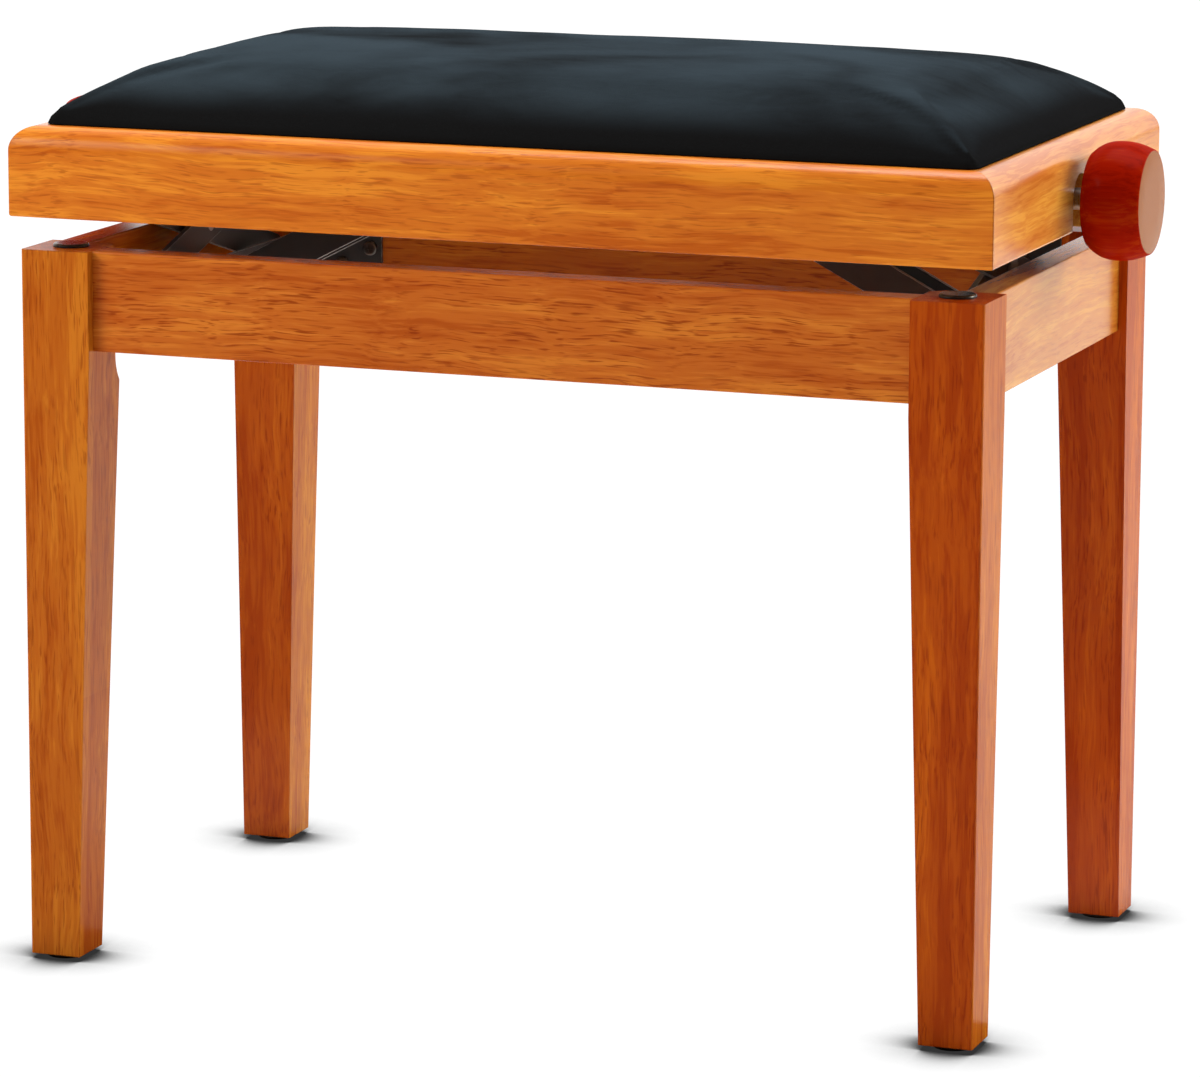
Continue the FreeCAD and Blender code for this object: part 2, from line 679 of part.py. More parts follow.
def travelling_nut():
    long, deep, high = (size / 2 for size in NUT_SIZE)
    block = box(-NUT_X - long, -NUT_X + long, -deep, deep, SPINDLE_Z - high, SPINDLE_Z + high)
    block = rounded(block, NUT_EDGE_R, lambda e: e.BoundBox.XLength > 20)
    trunnion = rod(TRUNNION_R, (-NUT_X, -TRUNNION_END, SPINDLE_Z), (-NUT_X, TRUNNION_END, SPINDLE_Z))
    thread = spindle_axis_rod(SPINDLE_R + RUNNING_GAP, -NUT_X - long - 1, -NUT_X + long + 1)
    return joined([block, trunnion]).cut(thread)


save("nut_left", [travelling_nut()])
save("nut_right", [to_right(travelling_nut())])

# Lift arms: two plates side by side, slotted at the top for the nut's trunnions.

def lift_plate():
    y0 = LIFT_PLATE_Y
    y1 = LIFT_PLATE_Y + LIFT_PLATE_THICK
    near = LIFT_SLOT_AT - LIFT_SLOT_TRAVEL
    far = LIFT_SLOT_AT + LIFT_SLOT_TRAVEL
    head = [rod(LIFT_HEAD_HALF, (x, y0, 0), (x, y1, 0)) for x in (near, far)]
    neck = near - LIFT_NECK
    lower_edge = [(0, -LIFT_PLATE_HALF), (neck, -LIFT_PLATE_HALF), (near, -LIFT_HEAD_HALF)]
    outline = lower_edge + [(x, -z) for x, z in reversed(lower_edge)]
    pieces = head + [
        rod(LIFT_PLATE_HALF, (0, y0, 0), (0, y1, 0)),
        box(near, far, y0, y1, -LIFT_HEAD_HALF, LIFT_HEAD_HALF),
        prism([(x, y0, z) for x, z in outline], (0, LIFT_PLATE_THICK, 0)),
    ]
    slot = [rod(LIFT_SLOT_R, (x, y0 - 1, 0), (x, y1 + 1, 0)) for x in (near, far)]
    slot.append(box(near, far, y0 - 1, y1 + 1, -LIFT_SLOT_R, LIFT_SLOT_R))
    pivot = rod(RIVET_R + RUNNING_GAP, (0, y0 - 1, 0), (0, y1 + 1, 0))
    return joined(pieces).cut(joined(slot)).cut(pivot)


def placed_on_lift_pivot(solid):
    solid = solid.copy()
    solid.rotate(V(0, 0, 0), V(0, 1, 0), -LIFT_ANGLE)
    solid.translate(V(-LIFT_PIVOT_X, 0, LIFT_PIVOT_Z))
    return solid


def lift_spacers():
    tube = rod(LIFT_TUBE_R, (0, -LIFT_PLATE_Y, 0), (0, LIFT_PLATE_Y, 0))
    tube = tube.cut(rod(RIVET_R + RUNNING_GAP, (0, -LIFT_PLATE_Y - 1, 0), (0, LIFT_PLATE_Y + 1, 0)))
    bar = rod(LIFT_BAR_R, (LIFT_BAR_AT, -LIFT_PLATE_Y, 0), (LIFT_BAR_AT, LIFT_PLATE_Y, 0))
    return [tube, bar]


left_plates = [placed_on_lift_pivot(p) for p in (lift_plate(), to_back(lift_plate()))]
left_spacers = [placed_on_lift_pivot(p) for p in lift_spacers()]
save("lift_arm_left", left_plates)
save("lift_arm_right", [to_right(p) for p in left_plates])
save("lift_spacers_left", left_spacers)
save("lift_spacers_right", [to_right(p) for p in left_spacers])

# Scissors: two crossed arms at each end keep the seat level.

ARM_LENGTH = math.hypot(2 * PIVOT_Y, SCISSOR_HIGH_Z - SCISSOR_LOW_Z)
ARM_ANGLE = math.degrees(math.atan2(SCISSOR_HIGH_Z - SCISSOR_LOW_Z, 2 * PIVOT_Y))


def scissor_arm(x0, middle_hole_r, tilt, pivot_z):
    x1 = x0 - ARM_THICK
    pieces = [rod(ARM_HALF, (x0, y, 0), (x1, y, 0)) for y in (0, ARM_LENGTH)]
    pieces.append(box(x0, x1, 0, ARM_LENGTH, -ARM_HALF, ARM_HALF))
    arm = joined(pieces)
    arm = arm.cut(rod(RIVET_R + RUNNING_GAP, (x0 + 1, 0, 0), (x1 - 1, 0, 0)))
    arm = arm.cut(rod(middle_hole_r, (x0 + 1, ARM_LENGTH / 2, 0), (x1 - 1, ARM_LENGTH / 2, 0)))
    arm = arm.cut(rod(STUD_R, (x0 + 1, ARM_LENGTH, 0), (x1 - 1, ARM_LENGTH, 0)))
    return on_scissor_pivot(arm, tilt, pivot_z)


def on_scissor_pivot(solid, tilt, pivot_z):
    solid = solid.copy()
    solid.rotate(V(0, 0, 0), V(1, 0, 0), tilt)
    solid.translate(V(0, -PIVOT_Y, pivot_z))
    return solid


def roller_pin(x_head, x_end):
    """A short stud through the arm's end, running out to carry its roller."""
    head_end = x_head + math.copysign(STUD_HEAD_H, x_end - x_head)
    pieces = [
        rod(STUD_HEAD_R, (x_head, ARM_LENGTH, 0), (head_end, ARM_LENGTH, 0)),
        rod(STUD_R, (head_end, ARM_LENGTH, 0), (x_end, ARM_LENGTH, 0)),
    ]
    return joined(pieces)


def roller(x_start, x_end, washer_from):
    """A plain roller with a washer in one piece, bored for its stud."""
    pieces = [
        rod(ROLLER_R, (-x_start, ARM_LENGTH, 0), (-x_end, ARM_LENGTH, 0)),
        rod(WASHER_R, (-washer_from, ARM_LENGTH, 0), (-x_end, ARM_LENGTH, 0)),
    ]
    hole = rod(STUD_R + RUNNING_GAP, (-x_start - 9, ARM_LENGTH, 0), (-x_start + 9, ARM_LENGTH, 0))
    return joined(pieces).cut(hole)


arm_a = scissor_arm(-ARM_A_X, CROSS_PIN_R, ARM_ANGLE, SCISSOR_LOW_Z)
arm_b = scissor_arm(-ARM_B_X, CROSS_HOLE_R, -ARM_ANGLE, SCISSOR_HIGH_Z)
save("scissor_arm_a_left", [arm_a])
save("scissor_arm_a_right", [to_right(arm_a)])
save("scissor_arm_b_left", [arm_b])
save("scissor_arm_b_right", [to_right(arm_b)])

pin_y = ARM_LENGTH / 2
pin_end = arm_b_out - 0.3
cross_pin = joined([
    rod(CROSS_PIN_R, (-ARM_A_X, pin_y, 0), (pin_end, pin_y, 0)),
    rod(CROSS_HEAD_R, (pin_end, pin_y, 0), (pin_end - CROSS_HEAD_H, pin_y, 0)),
])
a_studs = [
    on_scissor_pivot(cross_pin, ARM_ANGLE, SCISSOR_LOW_Z),
    on_scissor_pivot(roller_pin(-ARM_A_X + STUD_HEAD_H, -STUD_A_END), ARM_ANGLE, SCISSOR_LOW_Z),
]
save("scissor_studs_a_left", a_studs)
save("scissor_studs_a_right", [to_right(s) for s in a_studs])
a_roller = on_scissor_pivot(roller(*ROLLER_A_X, WASHER_A_FROM), ARM_ANGLE, SCISSOR_LOW_Z)
save("roller_a_left", [a_roller])
save("roller_a_right", [to_right(a_roller)])

b_stud = on_scissor_pivot(roller_pin(arm_b_out - STUD_HEAD_H, -STUD_B_END), -ARM_ANGLE, SCISSOR_HIGH_Z)
save("scissor_stud_b_left", [b_stud])
save("scissor_stud_b_right", [to_right(b_stud)])
b_roller = on_scissor_pivot(roller(*ROLLER_B_X, WASHER_B_FROM), -ARM_ANGLE, SCISSOR_HIGH_Z)
save("roller_b_left", [b_roller])
save("roller_b_right", [to_right(b_roller)])
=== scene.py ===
import math

import bmesh
import bpy
from mathutils import Matrix, Vector, noise


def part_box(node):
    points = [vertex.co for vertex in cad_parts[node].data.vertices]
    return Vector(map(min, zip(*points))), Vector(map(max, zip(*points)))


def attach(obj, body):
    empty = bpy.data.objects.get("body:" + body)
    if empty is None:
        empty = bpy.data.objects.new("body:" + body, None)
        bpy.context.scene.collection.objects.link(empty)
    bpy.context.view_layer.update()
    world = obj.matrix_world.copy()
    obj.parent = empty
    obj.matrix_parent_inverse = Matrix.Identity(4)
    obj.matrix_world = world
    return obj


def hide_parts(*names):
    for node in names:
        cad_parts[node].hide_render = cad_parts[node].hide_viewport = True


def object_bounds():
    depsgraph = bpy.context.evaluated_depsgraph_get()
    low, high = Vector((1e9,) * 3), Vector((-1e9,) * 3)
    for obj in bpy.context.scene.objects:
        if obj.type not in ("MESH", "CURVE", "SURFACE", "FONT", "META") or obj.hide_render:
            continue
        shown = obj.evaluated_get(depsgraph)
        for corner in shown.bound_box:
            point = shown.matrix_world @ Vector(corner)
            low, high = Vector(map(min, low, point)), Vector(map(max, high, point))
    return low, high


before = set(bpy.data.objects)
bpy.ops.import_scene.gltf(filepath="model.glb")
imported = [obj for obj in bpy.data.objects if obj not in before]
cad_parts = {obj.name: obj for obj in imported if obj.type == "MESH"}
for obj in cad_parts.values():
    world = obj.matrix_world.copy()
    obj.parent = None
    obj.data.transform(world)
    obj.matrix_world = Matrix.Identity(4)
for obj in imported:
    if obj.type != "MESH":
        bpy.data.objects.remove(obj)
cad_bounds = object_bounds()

# Studio.
# A white paper floor with a painted contact shadow round each foot, under a sky that is dimmer and warmer in
# front, with four soft lamps.
# A black flag in front of the bench, which only reflections see, keeps white off the lacquer.
# The paper runs far past the bench on all sides, so no edge of it shows.
FLOOR_HALF = 14.0
FOOT_SHADOW_REACH = 0.085
FOOT_SHADOW_BAND = (0.50, 0.97)
PAPER_GLOW = 1.22
scene = bpy.context.scene
scene.view_settings.view_transform = "Standard"


def node(tree, kind, wires=None, **values):
    """A shader node with its own settings, its input values, and wires from other sockets."""
    made = tree.nodes.new(kind)
    for key, value in values.items():
        if hasattr(made, key):
            setattr(made, key, value)
        else:
            made.inputs[key.replace("_", " ")].default_value = value
    for key, socket in (wires or {}).items():
        tree.links.new(socket, made.inputs[key])
    return made


def new_material(name):
    """A node material with its Principled shader: (tree, shader)."""
    made = bpy.data.materials.new(name)
    made.use_nodes = True
    return made, made.node_tree, made.node_tree.nodes["Principled BSDF"]


def mesh_object(name, verts, faces, material, smooth=True):
    """A new object in the scene, with one material."""
    mesh = bpy.data.meshes.new(name)
    mesh.from_pydata(verts, [], faces)
    mesh.materials.append(material)
    mesh.polygons.foreach_set("use_smooth", [smooth] * len(mesh.polygons))
    made = bpy.data.objects.new(name, mesh)
    scene.collection.objects.link(made)
    return made


paper, paper_tree, paper_shader = new_material("floor_paper")
paper_shader.inputs["Roughness"].default_value = 0.9
paper_shader.inputs["Specular IOR Level"].default_value = 0.1
fibres = node(paper_tree, "ShaderNodeTexNoise", Scale=60.0, Detail=4.0)
paper_ramp = node(paper_tree, "ShaderNodeMapRange", {"Value": fibres.outputs["Fac"]}, To_Min=0.86, To_Max=0.9)
# Painted shadow: ambient occlusion darkens the paper's colour round the feet, and camera rays see that shaded
# colour as a glow.
paper_open = node(paper_tree, "ShaderNodeAmbientOcclusion", samples=24, Distance=FOOT_SHADOW_REACH)
paper_shade = node(paper_tree, "ShaderNodeMapRange", {"Value": paper_open.outputs["AO"]}, To_Min=0.03)
paper_shade.interpolation_type = "SMOOTHSTEP"
paper_shade.inputs["From Min"].default_value, paper_shade.inputs["From Max"].default_value = FOOT_SHADOW_BAND
paper_parts = {0: paper_ramp.outputs[0], 1: paper_shade.outputs[0]}
paper_tone = node(paper_tree, "ShaderNodeMath", paper_parts, operation="MULTIPLY").outputs[0]
paper_colour = node(paper_tree, "ShaderNodeCombineColor", {c: paper_tone for c in ("Red", "Green", "Blue")})
paper_tree.links.new(paper_colour.outputs[0], paper_shader.inputs["Base Color"])
paper_lit = node(paper_tree, "ShaderNodeEmission", {"Color": paper_colour.outputs[0]}, Strength=PAPER_GLOW)
paper_choice = node(paper_tree, "ShaderNodeMixShader")
paper_tree.links.new(node(paper_tree, "ShaderNodeLightPath").outputs["Is Camera Ray"], paper_choice.inputs[0])
paper_tree.links.new(paper_shader.outputs[0], paper_choice.inputs[1])
paper_tree.links.new(paper_lit.outputs[0], paper_choice.inputs[2])
paper_tree.links.new(paper_choice.outputs[0], paper_tree.nodes["Material Output"].inputs["Surface"])
floor_corners = [(x * FLOOR_HALF, y * FLOOR_HALF, 0.0) for x, y in ((-1, -1), (1, -1), (1, 1), (-1, 1))]
floor = mesh_object("floor", floor_corners, [(0, 1, 2, 3)], paper, smooth=False)

SKY_FRONT, SKY_BACK, SKY_SHOWN = 0.10, 1.35, 1.05
WHITE = (1.0, 1.0, 1.0, 1.0)
sky = bpy.data.worlds.new("white_sky")
sky.use_nodes = True
sky_tree = sky.node_tree
sky_point = node(sky_tree, "ShaderNodeTexCoord").outputs["Generated"]
sky_way = node(sky_tree, "ShaderNodeSeparateXYZ", {"Vector": sky_point}).outputs["Y"]
sky_ramp = node(sky_tree, "ShaderNodeMapRange", {"Value": sky_way}, To_Min=SKY_FRONT, To_Max=SKY_BACK)
sky_ramp.interpolation_type = "SMOOTHSTEP"
sky_ramp.inputs["From Min"].default_value = -0.5
sky_ramp.inputs["From Max"].default_value = 0.6
sky_light = sky_tree.nodes["Background"]
sky_tree.links.new(sky_ramp.outputs[0], sky_light.inputs["Strength"])
sky_shown = node(sky_tree, "ShaderNodeBackground", Strength=SKY_SHOWN)
sky_choice = node(sky_tree, "ShaderNodeMixShader")
sky_tree.links.new(node(sky_tree, "ShaderNodeLightPath").outputs["Is Camera Ray"], sky_choice.inputs[0])
sky_tree.links.new(sky_light.outputs[0], sky_choice.inputs[1])
sky_tree.links.new(sky_shown.outputs[0], sky_choice.inputs[2])
sky_tree.links.new(sky_choice.outputs[0], sky_tree.nodes["World Output"].inputs["Surface"])
sky_tint = node(sky_tree, "ShaderNodeMix", {"Factor": sky_way}, data_type="RGBA")
sky_tint.inputs[6].default_value = (1.0, 0.72, 0.52, 1.0)
sky_tint.inputs[7].default_value = WHITE
sky_tree.links.new(sky_tint.outputs[2], sky_light.inputs["Color"])
sky_shown.inputs["Color"].default_value = WHITE
scene.world = sky


def soft_lamp(name, place, aim, size, watts, colour=(1.0, 1.0, 1.0)):
    """A rectangular lamp that stands at place and points at aim."""
    lamp = bpy.data.lights.new(name, "AREA")
    lamp.shape = "RECTANGLE"
    lamp.size, lamp.size_y = size
    lamp.energy = watts
    lamp.color = colour
    made = bpy.data.objects.new(name, lamp)
    made.location = place
    made.rotation_euler = (Vector(aim) - Vector(place)).to_track_quat("-Z", "Y").to_euler()
    scene.collection.objects.link(made)


bench_middle = (cad_bounds[0] + cad_bounds[1]) / 2
soft_lamp("key_lamp", (-1.5, -1.35, 1.5), bench_middle, (1.0, 1.0), 36.0, (1.0, 0.92, 0.78))
soft_lamp("right_lamp", (2.6, 1.2, 1.6), bench_middle, (1.2, 1.2), 42.0, (1.0, 0.94, 0.76))
soft_lamp("top_lamp", (0.3, 0.6, 3.0), bench_middle, (2.4, 1.6), 60.0)
soft_lamp("floor_lamp", (1.9, 3.6, 2.6), (1.2, 3.4, 0.0), (3.0, 3.0), 45.0)

FLAG_LEFT, FLAG_RIGHT = -2.4, 1.5
FLAG_BACK, FLAG_FRONT = -0.1, -1.15
FLAG_FOOT, FLAG_TOP = 0.001, 1.8
flag_black, _, flag_shader = new_material("black_cloth")
flag_shader.inputs["Base Color"].default_value = (0.004, 0.004, 0.004, 1.0)
flag_shader.inputs["Roughness"].default_value = 1.0
flag_folds = ((FLAG_BACK, FLAG_FOOT), (FLAG_FRONT, FLAG_FOOT), (FLAG_FRONT, FLAG_TOP))
flag_corners = [(x, y, z) for y, z in flag_folds for x in (FLAG_LEFT, FLAG_RIGHT)]
flag = mesh_object("black_flag", flag_corners, [(0, 1, 3, 2), (2, 3, 5, 4)], flag_black, smooth=False)
flag.visible_camera = False
flag.visible_diffuse = False
flag.visible_shadow = False

# Camera.
# It stands about three metres off, to the right of the bench's front and a little above the seat,
# with a long lens, so the uprights stay nearly parallel.
CAMERA_AZIMUTH = math.radians(20.176)
CAMERA_ELEVATION = math.radians(10.940)
CAMERA_ROLL = math.radians(0.253)
CAMERA_DISTANCE = 3.1607
CAMERA_TARGET = Vector((0.0043, 0.0, 0.2283))
LENS_MM = 169.67

camera = bpy.data.objects.new("camera", bpy.data.cameras.new("camera"))
camera.data.lens = LENS_MM
camera.data.sensor_width = 36.0
sight = Vector((
    -math.sin(CAMERA_AZIMUTH) * math.cos(CAMERA_ELEVATION),
    math.cos(CAMERA_AZIMUTH) * math.cos(CAMERA_ELEVATION),
    -math.sin(CAMERA_ELEVATION),
))
level = sight.to_track_quat("-Z", "Y").to_matrix().to_4x4()
camera.matrix_world = (
    Matrix.Translation(CAMERA_TARGET - sight * CAMERA_DISTANCE)
    @ level
    @ Matrix.Rotation(CAMERA_ROLL, 4, "Z")
)
scene.collection.objects.link(camera)
scene.camera = camera

# Legs and aprons.
# Solid hardwood, sawn straight-grained and stained honey brown, then sprayed with clear lacquer.
# The legs are glued up from staves, and the rails stand between them on dowels.
LEGS = ["leg_front_left", "leg_front_right", "leg_back_left", "leg_back_right"]
RAILS_ALONG = ["apron_front", "apron_back"]
RAILS_ACROSS = ["apron_left", "apron_right"]
# The front left leg's paler, greener stain is painted light: it stands for the stronger light on the front
# left.
LEG_STAINS_AND_PAINTED_LIGHT = [(0.44, 0.112, 0.0075), (0.41, 0.068, 0.0020), (0.36, 0.066, 0.0030), (0.42, 0.060, 0.0020)]
# The back rail's darker stain is painted shade: it stands for the shadow on the back rail, not a darker wood.
RAIL_STAINS_AND_SHADE = [(0.49, 0.122, 0.0120), (0.30, 0.066, 0.0030)]
# The right end rail's paler, greener stain is a painted sheen for the glare on the faces that look right.
END_RAIL_STAINS_AND_SHEEN = [(0.44, 0.090, 0.0030), (0.47, 0.170, 0.0200)]
# How much paler each leg's side faces are painted: a painted sheen for the glare from the right.
LEG_SIDE_SHEEN = [1.0, 1.55, 1.55, 1.55]


def stained(red, green, blue):
    """The four tones one coat of stain takes: on pale grain, on the body, on dark grain and in a pore."""
    return {
        "Light": (red * 1.20, green * 1.50, blue * 1.6, 1.0),
        "Middle": (red, green, blue, 1.0),
        "Dark": (red * 0.80, green * 0.62, blue * 0.5, 1.0),
        "Pore": (red * 0.50, green * 0.28, blue * 0.25, 1.0),
    }


def group_with(name, takes, gives):
    """An empty node group: (group, its input node, its output node)."""
    made = bpy.data.node_groups.new(name, "ShaderNodeTree")
    for label, kind, default in takes:
        socket = made.interface.new_socket(label, in_out="INPUT", socket_type="NodeSocket" + kind)
        if default is not None:
            socket.default_value = default
    for label, kind in gives:
        made.interface.new_socket(label, in_out="OUTPUT", socket_type="NodeSocket" + kind)
    return made, made.nodes.new("NodeGroupInput"), made.nodes.new("NodeGroupOutput")


def math_node(tree, operation, first, second=None, clamp=False):
    """One sum on two sockets or numbers."""
    made = tree.nodes.new("ShaderNodeMath")
    made.operation = operation
    made.use_clamp = clamp
    for socket, value in zip(made.inputs, (first, second)):
        if isinstance(value, (int, float)):
            socket.default_value = value
        elif value is not None:
            tree.links.new(value, socket)
    return made.outputs[0]


def added(tree, base, value, by):
    """base plus by times value."""
    return math_node(tree, "ADD", base, math_node(tree, "MULTIPLY", value, by))


def mixed(tree, fac, first, second):
    """Colour first turning into colour second as fac rises."""
    made = tree.nodes.new("ShaderNodeMix")
    made.data_type = "RGBA"
    for socket, value in ((made.inputs[0], fac), (made.inputs[6], first), (made.inputs[7], second)):
        if isinstance(value, (int, float, tuple)):
            socket.default_value = value
        else:
            tree.links.new(value, socket)
    return made.outputs[2]


def stretched_noise(tree, point, scale, detail, roughness=0.5, distortion=0.0):
    """Noise whose scale differs along each axis of the point."""
    placed = node(tree, "ShaderNodeMapping", {"Vector": point})
    placed.inputs["Scale"].default_value = scale
    made = node(tree, "ShaderNodeTexNoise", {"Vector": placed.outputs[0]}, Scale=1.0)
    made.inputs["Detail"].default_value = detail
    made.inputs["Roughness"].default_value = roughness
    made.inputs["Distortion"].default_value = distortion
    return made.outputs["Fac"]


def band(tree, value, low, high):
    """0 below low, 1 above high, smooth between."""
    made = node(tree, "ShaderNodeMapRange", {"Value": value})
    made.interpolation_type = "SMOOTHSTEP"
    made.inputs["From Min"].default_value = low
    made.inputs["From Max"].default_value = high
    return made.outputs[0]


def facing(tree, axis):
    """The surface's direction along one axis of the room."""
    normal = node(tree, "ShaderNodeNewGeometry").outputs["Normal"]
    return node(tree, "ShaderNodeSeparateXYZ", {"Vector": normal}).outputs[axis]


def dressed(tree, shader, colour, rough, relief):
    """Wires a colour, a roughness and a bumped normal to the shader."""
    for label, socket in (("Base Color", colour), ("Roughness", rough), ("Normal", relief)):
        tree.links.new(socket, shader.inputs[label])


def wood_grain_group():
    """Straight grain along the point's Z: bands, fibre lines, ribbon figure, staves and open pores."""
    takes = [
        ("Point", "Vector", None),
        ("Light", "Color", None),
        ("Middle", "Color", None),
        ("Dark", "Color", None),
        ("Pore", "Color", None),
        ("Pore Amount", "Float", 0.8),
        ("Stave Amount", "Float", 0.0),
        ("Stave Width", "Float", 0.021),
    ]
    gives = [("Color", "Color"), ("Roughness", "Float"), ("Height", "Float")]
    tree, taken, given = group_with("straight_wood_grain", takes, gives)
    point = taken.outputs["Point"]
    drift = node(tree, "ShaderNodeTexNoise", {"Vector": point}, Scale=5.5, Detail=2.0)
    drift_by = node(tree, "ShaderNodeVectorMath", {0: drift.outputs["Color"]}, operation="MULTIPLY_ADD")
    drift_by.inputs[1].default_value = (0.022, 0.022, 0.0)
    tree.links.new(point, drift_by.inputs[2])
    waver = node(tree, "ShaderNodeTexNoise", {"Vector": point}, Scale=34.0, Detail=1.0)
    waver_parts = {0: waver.outputs["Color"], 2: drift_by.outputs[0]}
    waver_by = node(tree, "ShaderNodeVectorMath", waver_parts, operation="MULTIPLY_ADD")
    waver_by.inputs[1].default_value = (0.003, 0.003, 0.0)
    grown = waver_by.outputs[0]
    bands = stretched_noise(tree, grown, (62.0, 62.0, 5.0), 2.0, 0.5)
    lines = stretched_noise(tree, grown, (520.0, 520.0, 15.0), 3.0, 0.6)
    ribbon = stretched_noise(tree, grown, (150.0, 150.0, 20.0), 2.0, 0.5, 0.6)
    pores = stretched_noise(tree, grown, (980.0, 980.0, 56.0), 1.5, 0.5)
    pore_places = stretched_noise(tree, grown, (80.0, 80.0, 14.0), 1.0)
    tone = added(tree, math_node(tree, "MULTIPLY", bands, 0.40), lines, 0.36)
    tone = added(tree, tone, ribbon, 0.24)
    axes = node(tree, "ShaderNodeSeparateXYZ", {"Vector": point})
    for axis, shift in ((0, 3.0), (1, 11.0)):
        stave = math_node(tree, "DIVIDE", axes.outputs[axis], taken.outputs["Stave Width"])
        stave = math_node(tree, "FLOOR", math_node(tree, "ADD", stave, shift + 0.35))
        shade = node(tree, "ShaderNodeTexWhiteNoise", {"W": stave}, noise_dimensions="1D")
        offset = math_node(tree, "SUBTRACT", shade.outputs["Value"], 0.5)
        tone = added(tree, tone, offset, taken.outputs["Stave Amount"])
    body = mixed(tree, band(tree, tone, 0.50, 0.60), taken.outputs["Middle"], taken.outputs["Light"])
    body = mixed(tree, band(tree, tone, 0.49, 0.39), body, taken.outputs["Dark"])
    streak = band(tree, pores, 0.53, 0.68)
    streak = math_node(tree, "MULTIPLY", streak, band(tree, pore_places, 0.24, 0.56))
    streak = math_node(tree, "MULTIPLY", streak, taken.outputs["Pore Amount"], clamp=True)
    coloured = mixed(tree, streak, body, taken.outputs["Pore"])
    rough = added(tree, added(tree, 0.30, lines, 0.12), streak, 0.15)
    height = math_node(tree, "SUBTRACT", math_node(tree, "MULTIPLY", lines, 0.35), streak)
    tree.links.new(coloured, given.inputs["Color"])
    tree.links.new(rough, given.inputs["Roughness"])
    tree.links.new(height, given.inputs["Height"])
    return tree


grain_group = wood_grain_group()


def lacquered_wood(name, turn, shift, tones, stave=0.0, pore=0.8, eased=0.0009, coat=1.0, sheen_green=1.0):
    """Stained wood under clear lacquer. turn puts the grain's run on the point's Z, and sheen_green pales the
    faces
    that look along X: a painted sheen for the glare on the sides."""
    made, tree, shader = new_material(name)
    place = node(tree, "ShaderNodeTexCoord").outputs["Object"]
    run = node(tree, "ShaderNodeMapping", {"Vector": place})
    run.inputs["Rotation"].default_value = turn
    run.inputs["Location"].default_value = shift
    grain = node(tree, "ShaderNodeGroup", node_tree=grain_group)
    tree.links.new(run.outputs[0], grain.inputs["Point"])
    grain.inputs["Stave Amount"].default_value = stave
    grain.inputs["Pore Amount"].default_value = pore
    for label, colour in tones.items():
        grain.inputs[label].default_value = colour
    edge = node(tree, "ShaderNodeBevel", samples=4)
    edge.inputs["Radius"].default_value = eased
    # Painted sheen: faces that look along X are made paler in green and blue, for the glare on the sides.
    side_sheen_mask = band(tree, math_node(tree, "ABSOLUTE", facing(tree, "X")), 0.5, 0.9)
    paler = node(tree, "ShaderNodeMix", {"Factor": side_sheen_mask}, data_type="RGBA", blend_type="MULTIPLY")
    tree.links.new(grain.outputs["Color"], paler.inputs[6])
    paler.inputs[7].default_value = (1.0, sheen_green, sheen_green, 1.0)
    rises = {"Height": grain.outputs["Height"], "Normal": edge.outputs[0]}
    relief = node(tree, "ShaderNodeBump", rises, Strength=0.12, Distance=0.0002)
    dressed(tree, shader, paler.outputs[2], grain.outputs["Roughness"], relief.outputs[0])
    shader.inputs["Specular IOR Level"].default_value = 0.0
    shader.inputs["Coat Weight"].default_value = coat
    shader.inputs["Coat Roughness"].default_value = 0.22
    shader.inputs["Coat IOR"].default_value = 1.38
    return made


GRAIN_ALONG_X = (0.0, math.radians(90), 0.0)
GRAIN_ALONG_Y = (math.radians(90), 0.0, 0.0)
GRAIN_UPRIGHT = (0.0, 0.0, 0.0)


def finish_node(name, material):
    """Gives a carried-over part its material on every slot."""
    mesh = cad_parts[name].data
    mesh.materials.clear()
    mesh.materials.append(material)
    mesh.polygons.foreach_set("material_index", [0] * len(mesh.polygons))


for number, name in enumerate(LEGS):
    shift = (0.013 * number, 0.009 * number, 0.7 * number)
    leg_wood = lacquered_wood(
        name + "_wood", GRAIN_UPRIGHT, shift, stained(*LEG_STAINS_AND_PAINTED_LIGHT[number]), stave=0.10, pore=0.6, coat=0.5,
        sheen_green=LEG_SIDE_SHEEN[number],
    )
    finish_node(name, leg_wood)
for number, name in enumerate(RAILS_ALONG):
    shift = (0.0, 0.31 * number, 0.4 + number)
    finish_node(name, lacquered_wood(name + "_wood", GRAIN_ALONG_X, shift, stained(*RAIL_STAINS_AND_SHADE[number])))
for number, name in enumerate(RAILS_ACROSS):
    shift = (0.5, 0.2 * number, 2.4 + number)
    tones = stained(*END_RAIL_STAINS_AND_SHEEN[number])
    finish_node(name, lacquered_wood(name + "_wood", GRAIN_ALONG_Y, shift, tones, pore=0.3))

# Seat frame boards.
# The same stained hardwood, moulded with a round over on the top outer edge and mitred at the corners.
# They are glued into a ring, and the end boards are notched from below for the spindle.
# The right board's paler, greener stain is a painted sheen for the glare on the right end.
SEAT_STAINS_AND_SHEEN = {
    "front": (0.60, 0.168, 0.0140),
    "back": (0.50, 0.120, 0.0040),
    "left": (0.50, 0.120, 0.0040),
    "right": (0.56, 0.210, 0.0300),
}
for number, side in enumerate(SEAT_STAINS_AND_SHEEN):
    run, pore = (GRAIN_ALONG_X, 0.5) if side in ("front", "back") else (GRAIN_ALONG_Y, 0.2)
    shift = (0.2 + 0.3 * number, 0.7 - 0.2 * number, 5.0 + number)
    board_wood = lacquered_wood(f"seat_{side}_wood", run, shift, stained(*SEAT_STAINS_AND_SHEEN[side]), pore=pore)
    finish_node("seat_board_" + side, board_wood)

